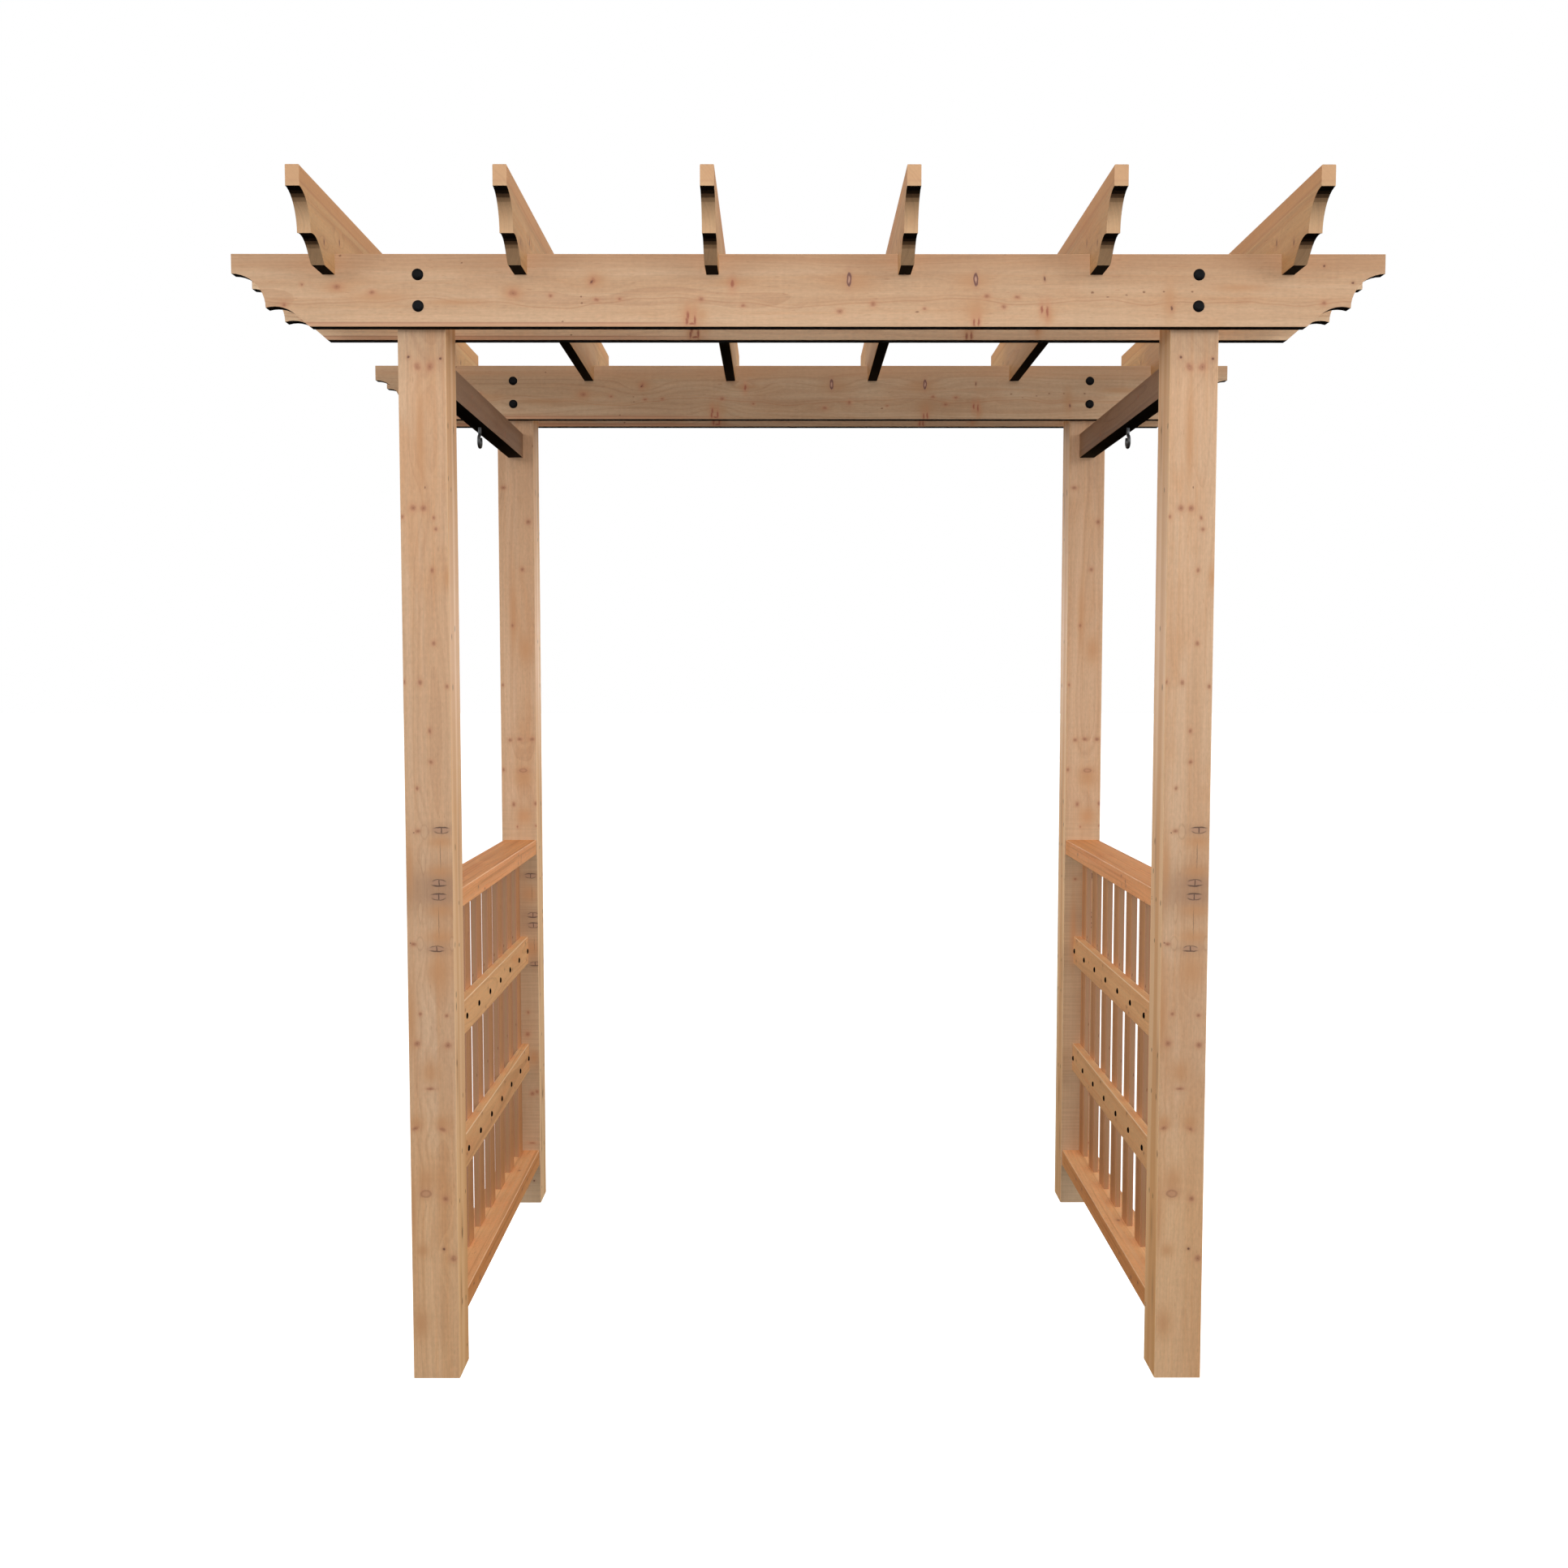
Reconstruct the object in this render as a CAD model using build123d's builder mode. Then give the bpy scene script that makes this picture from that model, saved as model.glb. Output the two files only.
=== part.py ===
from build123d import *
from math import atan2, cos, radians, sin, sqrt, tan
import os

# Cedar garden arbor: four square posts, paired crossbeams with cove-cut ends,
# notched rafters, and a slatted panel between the posts on each side.
#
# Millimetres, +Z up. The origin is on the ground at the middle of the four
# posts. X runs along the crossbeams, Y through the passage, with the front of
# the arbor at -Y.

os.makedirs("parts", exist_ok=True)

# ---------------------------------------------------------------- dimensions
# Posts
POST = 89.0  # square section
POST_EASE = 2.2  # rounding of the long edges
FRAME_W = 1516.5  # outer face to outer face, across the passage
FRAME_D = 1111.5  # outer face to outer face, front to back

# Crossbeams and rafters share one board section and one end shape
BOARD_H = 131.0
BEAM_T = 24.5
RAFTER_T = 24.0
BOARD_EASE = 1.6
BEAM_LEN = 2107.5
BEAM_Z = 1988.0  # underside of the crossbeams
RAFTER_Z = 2081.5  # underside of the rafters
RAFTER_OVERHANG = 232.0  # past the posts' outer faces, front and back
RAFTER_PITCH = 350.5
RAFTER_COUNT = 6
NOTCH_PLAY = 0.4  # side play of a rafter notch on its beam

# End shape of crossbeams and rafters, read from the end inwards
NOSE = 35.5  # plain upright face at the top
COVE_R1 = 61.5  # outer cove, a quarter circle
COVE_R2 = 58.0  # inner cove
COVE_C2 = 78.0  # centre of the inner cove, from the end
COVE_SWEEP = 41.0  # degrees past the top of the inner cove

# Bolts through beam, post and beam
BOLT_R = 4.0
BOLT_HOLE_R = 4.5
BOLT_HEAD_R = 10.5
BOLT_HEAD_H = 4.4
BOLT_EDGE = 37.2  # from the beam's top and bottom edges
WASHER_R = 11.0
WASHER_T = 1.6
NUT_R = 7.5  # across the corners, halved
NUT_H = 6.5
BOLT_PROUD = 3.5  # thread past the nut

# Tie beams under the crossbeams, one on each side
TIE_W = 38.0
TIE_H = 59.0
TIE_Z = 1897.5

# Side panels
RAIL_W = 82.0  # top and bottom rails, laid flat
TOP_RAIL_T = 38.0
TOP_RAIL_Z = 900.5
BOTTOM_RAIL_Z = 97.4
BOTTOM_RAIL_T = 39.6
MID_RAIL_H = 70.0
MID_RAIL_T = 19.5
MID_RAIL_Z = (345.0, 621.3)
MID_RAIL_X = 695.5  # inner face
SLAT_W = 55.5
SLAT_T = {-1: 13.3, 1: 12.4}  # left and right
SLAT_PITCH = 127.3
SLAT_FIRST = -453.6  # middle of the front one
SLAT_COUNT = 8
SLAT_EASE = 0.6

# Screw hooks under the tie beams
HOOK_R = 3.6  # rod radius
HOOK_DROP = 46.0
HOOK_BOW_R = 12.5  # bow, at the rod's middle
HOOK_BEND_R = 6.5
HOOK_IN = 24.0  # thread inside the wood
HOOK_HOLE_R = 3.65

# ------------------------------------------------------------ derived places
PX = FRAME_W / 2 - POST / 2  # post centre
PY = FRAME_D / 2 - POST / 2
BEAM_TOP = BEAM_Z + BOARD_H
BAY = FRAME_D - 2 * POST  # clear length between front and back posts
BOLT_Z = (BEAM_Z + BOLT_EDGE, BEAM_TOP - BOLT_EDGE)
FRONT, BACK = -1, 1
LEFT, RIGHT = -1, 1

# Near face (towards -Y) of each crossbeam
BEAM_Y = {
    "beam_front_outer": -FRAME_D / 2 - BEAM_T,
    "beam_front_inner": -FRAME_D / 2 + POST,
    "beam_back_inner": FRAME_D / 2 - POST - BEAM_T,
    "beam_back_outer": FRAME_D / 2,
}


def end_shape(length, low):
    """Closed outline of a board seen from its side: straight top, cove-cut ends."""
    half, top = length / 2, low + BOARD_H
    cusp_z = top - NOSE - COVE_R1
    drop = sqrt(COVE_R2**2 - (COVE_C2 - COVE_R1) ** 2)
    c2_z = cusp_z - drop
    a = radians(COVE_SWEEP)
    out_in = COVE_C2 + COVE_R2 * sin(a)
    out_z = c2_z + COVE_R2 * cos(a)
    foot = out_in + (out_z - low) / tan(a)
    s = sqrt(0.5)
    with BuildLine() as outline:
        for side in (1, -1):
            end = side * half
            Line((0, top), (end, top))
            Line((end, top), (end, top - NOSE))
            ThreePointArc(
                (end, top - NOSE),
                (end - side * COVE_R1 * s, cusp_z + COVE_R1 * s),
                (end - side * COVE_R1, cusp_z),
            )
            ThreePointArc(
                (end - side * COVE_R1, cusp_z),
                (end - side * COVE_C2, c2_z + COVE_R2),
                (end - side * out_in, out_z),
            )
            Line((end - side * out_in, out_z), (end - side * foot, low))
            Line((end - side * foot, low), (0, low))
    return outline


def make_post(name, side, end):
    """A plain square post, bored for the two bolts that clamp the crossbeams."""
    x, y = side * PX, end * PY
    with BuildPart() as post:
        with BuildSketch(Plane.XY):
            with Locations((x, y)):
                Rectangle(POST, POST)
        extrude(amount=BEAM_TOP)
        fillet(post.edges().filter_by(Axis.Z), radius=POST_EASE)
        for z in BOLT_Z:
            with BuildSketch(Plane(origin=(x, y - POST / 2 - 1, z), z_dir=(0, 1, 0))):
                Circle(BOLT_HOLE_R)
            extrude(amount=POST + 2, mode=Mode.SUBTRACT)
    post.part.label = name
    export_step(post.part, f"parts/{name}.step")


def make_beam(name, near_y):
    """A crossbeam: one board on edge, cove-cut at both ends."""
    with BuildPart() as beam:
        with BuildSketch(Plane.XZ.offset(-(near_y + BEAM_T))):
            add(end_shape(BEAM_LEN, BEAM_Z).line)
            make_face()
        extrude(amount=BEAM_T)
        fillet(beam.edges().filter_by(Axis.X), radius=BOARD_EASE)
        for side in (LEFT, RIGHT):
            for z in BOLT_Z:
                with BuildSketch(
                    Plane(origin=(side * PX, near_y - 1, z), z_dir=(0, 1, 0))
                ):
                    Circle(BOLT_HOLE_R)
                extrude(amount=BEAM_T + 2, mode=Mode.SUBTRACT)
    beam.part.label = name
    export_step(beam.part, f"parts/{name}.step")


def make_rafter(name, x):
    """A rafter: the same end shape, notched from below over the four beams."""
    with BuildPart() as rafter:
        with BuildSketch(Plane.YZ.offset(x - RAFTER_T / 2)):
            add(end_shape(FRAME_D + 2 * RAFTER_OVERHANG, RAFTER_Z).line)
            make_face()
        extrude(amount=RAFTER_T)
        fillet(rafter.edges().filter_by(Axis.Y), radius=BOARD_EASE)
        for near_y in BEAM_Y.values():
            with BuildSketch(Plane.XY.offset(RAFTER_Z - 5)):
                with Locations((x, near_y + BEAM_T / 2)):
                    Rectangle(RAFTER_T + 10, BEAM_T + NOTCH_PLAY)
            extrude(amount=BEAM_TOP - RAFTER_Z + 5, mode=Mode.SUBTRACT)
    rafter.part.label = name
    export_step(rafter.part, f"parts/{name}.step")


def make_tie(name, side):
    """A tie beam between the front and back post, bored for its screw hook."""
    with BuildPart() as tie:
        with BuildSketch(Plane.XZ.offset(BAY / 2)):
            with Locations((side * PX, TIE_Z + TIE_H / 2)):
                Rectangle(TIE_W, TIE_H)
        extrude(amount=-BAY)
        fillet(tie.edges().filter_by(Axis.Y), radius=BOARD_EASE)
        with BuildSketch(Plane.XY.offset(TIE_Z - 1)):
            with Locations((side * PX, 0)):
                Circle(HOOK_HOLE_R)
        extrude(amount=HOOK_IN + 1.5, mode=Mode.SUBTRACT)
    tie.part.label = name
    export_step(tie.part, f"parts/{name}.step")


def make_rail(name, side, low, thick):
    """A top or bottom rail, laid flat between the posts."""
    with BuildPart() as rail:
        with BuildSketch(Plane.XZ.offset(BAY / 2)):
            with Locations((side * PX, low + thick / 2)):
                Rectangle(RAIL_W, thick)
        extrude(amount=-BAY)
        fillet(rail.edges().filter_by(Axis.Y), radius=BOARD_EASE + 0.4)
    rail.part.label = name
    export_step(rail.part, f"parts/{name}.step")


def make_mid_rail(name, side, low):
    """A thin board on edge across the inner face of the slats."""
    with BuildPart() as mid:
        with BuildSketch(Plane.XZ.offset(BAY / 2)):
            with Locations((side * (MID_RAIL_X + MID_RAIL_T / 2), low + MID_RAIL_H / 2)):
                Rectangle(MID_RAIL_T, MID_RAIL_H)
        extrude(amount=-BAY)
        fillet(mid.edges().filter_by(Axis.Y), radius=BOARD_EASE + 0.4)
    mid.part.label = name
    export_step(mid.part, f"parts/{name}.step")


def make_slats(name, side):
    """Upright strips from the bottom rail to the top rail, the front one cut to fit."""
    low, high = BOTTOM_RAIL_Z + BOTTOM_RAIL_T, TOP_RAIL_Z
    thick = SLAT_T[side]
    x = side * (MID_RAIL_X + MID_RAIL_T + thick / 2)
    with BuildPart() as slats:
        with BuildSketch(Plane.XY.offset(low)):
            for i in range(SLAT_COUNT):
                middle = SLAT_FIRST + i * SLAT_PITCH
                near = max(middle - SLAT_W / 2, -BAY / 2)
                far = min(middle + SLAT_W / 2, BAY / 2)
                with Locations((x, (near + far) / 2)):
                    Rectangle(thick, far - near)
        extrude(amount=high - low)
        fillet(slats.edges().filter_by(Axis.Z), radius=SLAT_EASE)
    slats.part.label = name
    export_step(slats.part, f"parts/{name}.step")


def make_hook(name, side):
    """A screw hook: straight rod, one bend, and a round bow open on one side."""
    bow_z = TIE_Z - HOOK_DROP + HOOK_R + HOOK_BOW_R
    rise = sqrt((HOOK_BOW_R + HOOK_BEND_R) ** 2 - HOOK_BEND_R**2)
    bend_z = bow_z + rise
    k = HOOK_BOW_R / (HOOK_BOW_R + HOOK_BEND_R)
    meet = (-HOOK_BEND_R * k, bow_z + rise * k)
    half = -atan2(rise, HOOK_BEND_R) / 2
    bend_mid = (-HOOK_BEND_R + HOOK_BEND_R * cos(half), bend_z + HOOK_BEND_R * sin(half))
    tip = radians(38.0)
    with BuildPart() as hook:
        with BuildLine(Plane.YZ.offset(side * PX)) as path:
            Line((0, TIE_Z + HOOK_IN), (0, bend_z))
            ThreePointArc((0, bend_z), bend_mid, meet)
            ThreePointArc(
                meet,
                (0, bow_z - HOOK_BOW_R),
                (HOOK_BOW_R * cos(tip), bow_z + HOOK_BOW_R * sin(tip)),
            )
        with BuildSketch(Plane(origin=(side * PX, 0, TIE_Z + HOOK_IN), z_dir=(0, 0, -1))):
            Circle(HOOK_R)
        sweep(path=path.line)
    hook.part.label = name
    export_step(hook.part, f"parts/{name}.step")


def make_bolts(name, side, near_y):
    """Two round-headed bolts with washer and nut, clamping a beam on each post face."""
    x = side * PX
    through = BEAM_T + POST + BEAM_T
    with BuildPart() as bolts:
        for z in BOLT_Z:
            with BuildSketch(Plane(origin=(x, near_y, z), x_dir=(1, 0, 0), z_dir=(0, 0, 1))):
                with BuildLine():
                    Line((0, -BOLT_HEAD_H), (3.0, -BOLT_HEAD_H))
                    ThreePointArc(
                        (3.0, -BOLT_HEAD_H),
                        (7.9, -3.35),
                        (BOLT_HEAD_R, -0.9),
                    )
                    Polyline(
                        (BOLT_HEAD_R, -0.9),
                        (BOLT_HEAD_R, 0),
                        (BOLT_R, 0),
                        (BOLT_R, through),
                        (WASHER_R, through),
                        (WASHER_R, through + WASHER_T),
                        (BOLT_R, through + WASHER_T),
                        (BOLT_R, through + WASHER_T + NUT_H + BOLT_PROUD),
                        (0, through + WASHER_T + NUT_H + BOLT_PROUD),
                        (0, -BOLT_HEAD_H),
                    )
                make_face()
            revolve(axis=Axis((x, near_y, z), (0, 1, 0)))
            with BuildSketch(
                Plane(origin=(x, near_y + through + WASHER_T, z), z_dir=(0, 1, 0))
            ):
                RegularPolygon(NUT_R, 6)
            extrude(amount=NUT_H)
    bolts.part.label = name
    export_step(bolts.part, f"parts/{name}.step")


for side, side_name in ((LEFT, "left"), (RIGHT, "right")):
    for end, end_name in ((FRONT, "front"), (BACK, "back")):
        make_post(f"post_{end_name}_{side_name}", side, end)
    make_bolts(f"bolts_front_{side_name}", side, BEAM_Y["beam_front_outer"])
    make_bolts(f"bolts_back_{side_name}", side, BEAM_Y["beam_back_inner"])
    make_tie(f"tie_beam_{side_name}", side)
    make_hook(f"hook_{side_name}", side)
    make_rail(f"top_rail_{side_name}", side, TOP_RAIL_Z, TOP_RAIL_T)
    make_rail(f"bottom_rail_{side_name}", side, BOTTOM_RAIL_Z, BOTTOM_RAIL_T)
    make_mid_rail(f"mid_rail_lower_{side_name}", side, MID_RAIL_Z[0])
    make_mid_rail(f"mid_rail_upper_{side_name}", side, MID_RAIL_Z[1])
    make_slats(f"slats_{side_name}", side)

for beam_name, near in BEAM_Y.items():
    make_beam(beam_name, near)

for i in range(RAFTER_COUNT):
    make_rafter(f"rafter_{i + 1}", (i - (RAFTER_COUNT - 1) / 2) * RAFTER_PITCH)
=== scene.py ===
"""Cedar garden arbor: finishes, small hardware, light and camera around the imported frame."""

import math

import bmesh
import bpy
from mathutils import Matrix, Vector


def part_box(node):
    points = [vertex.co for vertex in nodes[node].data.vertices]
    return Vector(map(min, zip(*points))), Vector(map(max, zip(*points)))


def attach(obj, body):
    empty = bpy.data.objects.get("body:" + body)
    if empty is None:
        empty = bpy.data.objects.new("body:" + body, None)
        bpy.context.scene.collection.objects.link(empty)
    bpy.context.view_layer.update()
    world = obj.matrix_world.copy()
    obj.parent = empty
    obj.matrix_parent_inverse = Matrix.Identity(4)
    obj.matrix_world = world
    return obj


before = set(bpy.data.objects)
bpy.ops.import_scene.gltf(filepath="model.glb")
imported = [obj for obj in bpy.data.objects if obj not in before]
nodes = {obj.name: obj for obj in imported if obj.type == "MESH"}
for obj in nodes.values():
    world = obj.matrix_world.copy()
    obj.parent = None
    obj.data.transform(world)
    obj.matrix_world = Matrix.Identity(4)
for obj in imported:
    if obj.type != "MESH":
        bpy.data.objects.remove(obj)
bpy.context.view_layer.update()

scene = bpy.context.scene
X, Y, Z = 0, 1, 2

# ------------------------------------------------------------------ camera
cam_data = bpy.data.cameras.new("camera")
cam_data.sensor_width = 36.0
cam_data.lens = 36.1415
cam_data.clip_start, cam_data.clip_end = 0.05, 200
cam = bpy.data.objects.new("camera", cam_data)
cam.location = (-0.04887, -3.50977, 1.34232)
cam.rotation_euler = (math.pi / 2 - 0.0657, 0, -0.0014)
scene.collection.objects.link(cam)
scene.camera = cam
scene.view_settings.view_transform = "Standard"
scene.view_settings.look = "None"


# ------------------------------------------------------------ node helpers
def lin(r, g, b):
    """sRGB 0..255 to linear, with alpha."""
    def f(v):
        v /= 255.0
        return v / 12.92 if v <= 0.04045 else ((v + 0.055) / 1.055) ** 2.4
    return (f(r), f(g), f(b), 1.0)


class Net:
    """Short calls that add shader nodes and link them."""

    def __init__(self, tree):
        self.t = tree
        self.planes = {}

    def new(self, kind, **props):
        n = self.t.nodes.new(kind)
        for k, v in props.items():
            setattr(n, k, v)
        return n

    def put(self, socket, value):
        if isinstance(value, bpy.types.NodeSocket):
            self.t.links.new(value, socket)
        elif value is not None:
            socket.default_value = value

    def m(self, op, a, b=None, c=None, clamp=False):
        n = self.new("ShaderNodeMath", operation=op, use_clamp=clamp)
        for s, v in zip(n.inputs, (a, b, c)):
            self.put(s, v)
        return n.outputs[0]

    def add(self, a, b): return self.m("ADD", a, b)
    def sub(self, a, b): return self.m("SUBTRACT", a, b)
    def mul(self, a, b): return self.m("MULTIPLY", a, b)
    def mad(self, a, b, c): return self.m("MULTIPLY_ADD", a, b, c)

    def bell(self, d, k):
        """exp(-k d^2)"""
        return self.m("EXPONENT", self.mul(self.mul(d, d), -k))

    def xyz(self, x, y, z):
        n = self.new("ShaderNodeCombineXYZ")
        for s, v in zip(n.inputs, (x, y, z)):
            self.put(s, v)
        return n.outputs[0]

    def vec(self, op, a, b=None, scale=None):
        n = self.new("ShaderNodeVectorMath", operation=op)
        self.put(n.inputs[0], a)
        if b is not None:
            self.put(n.inputs[1], b)
        if scale is not None:
            self.put(n.inputs["Scale"], scale)
        return n.outputs["Value"] if op in ("LENGTH", "DISTANCE") else n.outputs["Vector"]

    def noise(self, vec, scale=1.0, detail=2.0, rough=0.5, distort=0.0, out=0, dims="3D", w=None):
        n = self.new("ShaderNodeTexNoise", noise_dimensions=dims)
        if vec is not None:
            self.put(n.inputs["Vector"], vec)
        if w is not None:
            self.put(n.inputs["W"], w)
        n.inputs["Scale"].default_value = scale
        n.inputs["Detail"].default_value = detail
        n.inputs["Roughness"].default_value = rough
        n.inputs["Distortion"].default_value = distort
        return n.outputs[out]

    def step(self, v, a, b, lo=0.0, hi=1.0, kind="SMOOTHSTEP"):
        n = self.new("ShaderNodeMapRange", interpolation_type=kind)
        for s, x in zip(n.inputs, (v, a, b, lo, hi)):
            self.put(s, x)
        return n.outputs[0]

    def mix(self, fac, a, b, blend="MIX"):
        n = self.new("ShaderNodeMix", data_type="RGBA", blend_type=blend)
        self.put(n.inputs[0], fac)
        rgba = [s for s in n.inputs if s.type == "RGBA"]
        self.put(rgba[0], a)
        self.put(rgba[1], b)
        return [s for s in n.outputs if s.type == "RGBA"][0]

    def mixf(self, fac, a, b):
        n = self.new("ShaderNodeMix", data_type="FLOAT")
        self.put(n.inputs[0], fac)
        self.put(n.inputs[2], a)
        self.put(n.inputs[3], b)
        return n.outputs[0]

    def ramp(self, fac, stops):
        n = self.new("ShaderNodeValToRGB")
        el = n.color_ramp.elements
        while len(el) < len(stops):
            el.new(0.5)
        for e, (pos, col) in zip(el, stops):
            e.position = pos
            e.color = col
        self.put(n.inputs[0], fac)
        return n.outputs[0]

    def near(self, vec, items):
        """Distance to the nearest of the items (c, l, radius c, radius l, turn), in radii.
        Upright items of a like slimness share one stretched copy of the plane."""
        out = None
        for it in items:
            c0, l0, rc, rl = it[:4]
            if len(it) > 4:
                mp = self.new("ShaderNodeMapping", vector_type="TEXTURE")
                self.put(mp.inputs["Vector"], vec)
                mp.inputs["Location"].default_value = (c0, l0, 0)
                mp.inputs["Rotation"].default_value = (0, 0, it[4])
                mp.inputs["Scale"].default_value = (rc, rl, 1)
                d = self.vec("LENGTH", mp.outputs[0])
            else:
                k = round(2 * math.log2(rl / rc))
                slim = 2.0 ** (k / 4)
                key = (vec.node.name, k)
                if key not in self.planes:
                    self.planes[key] = self.vec("MULTIPLY", vec, (slim, 1 / slim, 0.0))
                d = self.vec("DISTANCE", self.planes[key], (c0 * slim, l0 / slim, 0.0))
                d = self.mul(d, 1 / math.sqrt(rc * rl))
            out = d if out is None else self.m("MINIMUM", out, d)
        return out

    def group(self, tree, **inputs):
        n = self.new("ShaderNodeGroup")
        n.node_tree = tree
        for k, v in inputs.items():
            self.put(n.inputs[k], v)
        return n


def shade(palette, r, g, b):
    """A palette with its linear colours scaled."""
    return tuple((c[0] * r, c[1] * g, c[2] * b, 1.0) for c in palette)


def make_group(name, ins, outs):
    """An empty node group with float or colour sockets, its net, inputs and output node."""
    g = bpy.data.node_groups.new(name, "ShaderNodeTree")
    kinds = {"f": "NodeSocketFloat", "c": "NodeSocketColor", "v": "NodeSocketVector"}
    for n, k in ins:
        g.interface.new_socket(n, in_out="INPUT", socket_type=kinds[k])
    for n, k in outs:
        g.interface.new_socket(n, in_out="OUTPUT", socket_type=kinds[k])
    i = g.nodes.new("NodeGroupInput")
    o = g.nodes.new("NodeGroupOutput")
    return g, Net(g), i, o


# ------------------------------------------------------------- bare cedar
# l runs along the board, c across its wide face and t through its thickness, in metres
# from the board's middle. The pith lies off the board, so the wide face shows long
# flat-sawn grain and the sawn ends show arcs of the same rings.
WOOD, w, wi, wo = make_group(
    "cedar",
    [(n, "f") for n in ("l", "c", "t", "seed", "pithc", "pitht", "pitch", "eye", "sawn",
                        "ringamt", "fleck", "blotch", "stripe")]
    + [(n, "c") for n in ("light", "mid", "warm", "dark")],
    [("color", "c"), ("rough", "f"), ("height", "f")],
)
s = wi.outputs
seed = s["seed"]
wav = w.noise(w.xyz(w.mad(s["l"], 1.15, seed), w.mul(s["c"], 4.5), w.mul(s["t"], 4.5)), 1.0, 1.5, 0.5)
wav2 = w.noise(w.xyz(w.mad(s["l"], 6.0, seed), w.mul(s["c"], 16.0), w.mul(s["t"], 16.0)), 1.0, 2.0, 0.55)
rc_ = w.sub(s["c"], s["pithc"])
rt_ = w.sub(s["t"], s["pitht"])
radius = w.m("SQRT", w.mad(rc_, rc_, w.mul(rt_, rt_)))
radius = w.add(radius, w.mad(w.sub(wav, 0.5), 0.046, w.mul(w.sub(wav2, 0.5), 0.0042)))
radius = w.add(radius, w.mul(s["eye"], 0.011))
turns = w.m("DIVIDE", radius, s["pitch"])
turns = w.mad(w.noise(None, 0.9, 1.0, 0.5, dims="1D", w=w.add(turns, seed)), 1.8, turns)
saw = w.m("FRACT", turns)
late = w.mul(w.step(saw, 0.20, 0.90), w.step(saw, 1.0, 0.93))
ring_str = w.noise(None, 3.1, 0.0, 0.5, dims="1D", w=w.add(w.m("FLOOR", turns), seed))
late = w.mul(late, w.step(ring_str, 0.3, 0.72, 0.22, 1.0))
# fibres, streaks and bands, each far longer than wide
fib_v = w.xyz(w.mad(s["l"], 16.0, seed), w.mul(s["c"], 640.0), w.mul(s["t"], 640.0))
fibre = w.noise(fib_v, 1.0, 3.0, 0.65)
str_v = w.xyz(w.mad(s["l"], 2.4, seed), w.mul(s["c"], 110.0), w.mul(s["t"], 110.0))
streak = w.noise(str_v, 1.0, 3.0, 0.55)
band = w.noise(w.xyz(w.mad(s["l"], 0.7, seed), w.mul(s["c"], 27.0), w.mul(s["t"], 27.0)), 1.0, 2.0, 0.5)
blot = w.noise(w.xyz(w.mad(s["l"], 5.0, seed), w.mul(s["c"], 17.0), w.mul(s["t"], 17.0)), 1.0, 3.0, 0.55, 0.3)
mott = w.noise(w.xyz(w.mad(s["l"], 105.0, seed), w.mul(s["c"], 230.0), w.mul(s["t"], 230.0)), 1.0, 2.0, 0.65)
# faint planer marks across the board
mark = w.noise(w.xyz(w.mad(s["l"], 105.0, seed), w.mul(s["c"], 3.0), w.mul(s["t"], 3.0)), 1.0, 1.0, 0.5)

base = w.mix(w.step(band, 0.36, 0.64), s["light"], s["mid"])
base = w.mix(w.mul(w.step(blot, 0.50, 0.80), s["blotch"]), base, s["warm"])
base = w.mix(w.mul(w.step(streak, 0.48, 0.74), s["stripe"]), base, s["warm"])
base = w.mix(w.mul(late, s["ringamt"]), base, s["dark"])
tone = w.mad(w.sub(fibre, 0.5), 0.34, w.mul(w.sub(mott, 0.5), 0.27))
tone = w.mad(w.sub(mark, 0.5), 0.075, tone)
tone = w.mad(w.sub(streak, 0.5), 0.10, w.add(1.0, tone))
base = w.mix(1.0, base, w.xyz(tone, tone, tone), "MULTIPLY")
# short pores
pore = w.noise(w.xyz(w.mad(s["l"], 52.0, seed), w.mul(s["c"], 380.0), w.mul(s["t"], 380.0)), 1.0, 1.0, 0.5)
base = w.mix(w.mul(w.step(pore, 0.69, 0.80), s["fleck"]), base, s["dark"])
# sawn ends: open pores, stronger rings, a touch duller
ends = w.noise(w.xyz(w.mul(s["l"], 300.0), w.mul(s["c"], 900.0), w.mul(s["t"], 900.0)), 1.0, 2.0, 0.6)
endtone = w.mad(w.sub(ends, 0.5), 0.30, w.mad(late, -0.10, 0.985))
base = w.mix(s["sawn"], base, w.mix(1.0, base, w.xyz(endtone, endtone, endtone), "MULTIPLY"))
w.put(wo.inputs["color"], base)
w.put(wo.inputs["rough"], w.mad(w.sub(fibre, 0.5), 0.28, w.mad(s["sawn"], 0.10, 0.60)))
hgt = w.mad(fibre, 0.60, w.mul(late, -0.30))
hgt = w.mad(mark, 0.10, w.mad(mott, 0.10, hgt))
w.put(wo.inputs["height"], w.add(hgt, w.mul(w.mul(ends, s["sawn"]), 0.35)))

# A grey knot cut along its length: one flat dark bar, a thin arc opposite and a stroke
# from the bar towards the middle. way is 1 where the bar lies above the middle.
LENS, ln, li, lo_ = make_group(
    "lens", [("place", "v")] + [(n, "f") for n in ("c0", "l0", "wide", "high", "way")], [("dark", "f")])
s = li.outputs
ls = ln.new("ShaderNodeSeparateXYZ")
ln.put(ls.inputs[0], s["place"])
lu = ln.m("DIVIDE", ln.sub(ls.outputs[0], s["c0"]), s["wide"])
lv = ln.mul(ln.m("DIVIDE", ln.sub(ls.outputs[1], s["l0"]), s["high"]), s["way"])
uu = ln.mul(lu, lu)
arc = ln.step(ln.m("ABSOLUTE", ln.sub(ln.m("SQRT", ln.mad(lv, lv, uu)), 0.92)), 0.20, 0.04)
arc = ln.mul(ln.mul(arc, ln.step(lv, 0.05, -0.45)), ln.mul(ln.step(uu, 0.95, 0.28), 0.72))
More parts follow.
